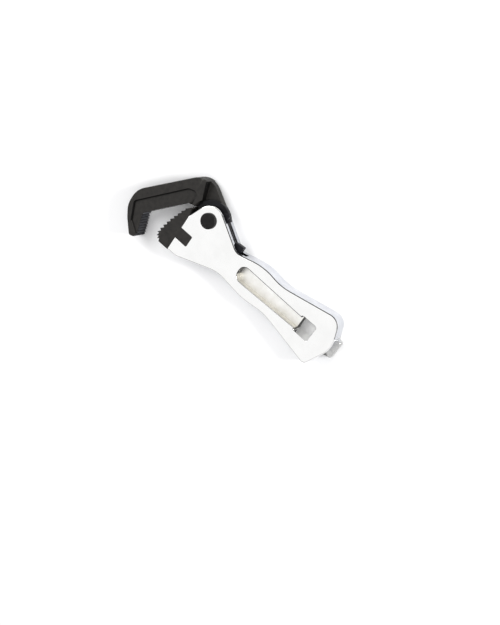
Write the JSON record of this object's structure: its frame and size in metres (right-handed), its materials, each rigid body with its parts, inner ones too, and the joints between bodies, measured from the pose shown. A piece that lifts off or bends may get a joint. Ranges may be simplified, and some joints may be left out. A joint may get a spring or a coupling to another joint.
{
  "type": "pipe wrench",
  "caption": "Pocket pipe wrench: a flat polished handle with a square drive hole and a long pocket, a fixed toothed jaw and a sprung hook jaw on a pivot screw.",
  "frame": {"origin": "centre of the square drive hole, on the wrench's back face", "axes": "+X from the jaws towards the handle's tail, +Y towards the side the hook's pivot is on, +Z out of the front face"},
  "size_m": [0.0928, 0.0351, 0.0076],
  "materials": {
    "polished_steel": "mirror polished stainless steel",
    "black_oxide": "matt black oxide on forged steel",
    "gloss_black": "gloss black",
    "black_screw": "satin black oxide",
    "dark_steel": "oiled black oxide",
    "plain_steel": "turned and ground steel",
    "bronze": "plain bearing bronze",
    "spring_steel": "drawn spring wire"
  },
  "bodies": {
    "handle": {"body_frame": "polished_steel", "lower_jaw": "black_oxide", "jaw_set_screw": "dark_steel", "pivot_screw": "black_screw", "pivot_nut": "plain_steel", "front_washer": "bronze", "rear_washer": "bronze", "stop_pin": "plain_steel", "spring_post": "plain_steel", "return_spring": "spring_steel"},
    "hook": {"hook_jaw": "black_oxide", "release_lever": "gloss_black", "lever_rivets": "plain_steel", "pivot_bush": "bronze"}
  },
  "joints": [
    {"name": "jaw_pivot", "type": "hinge", "parent": "handle", "child": "hook", "pos_m": [-0.0506, 0.0064, 0.0036], "axis": [0, 0, -1], "range_deg": [0, 22], "stiffness_Nm_per_rad": 0.04, "springref_deg": -28.65, "deforming": ["return_spring"]}
  ]
}
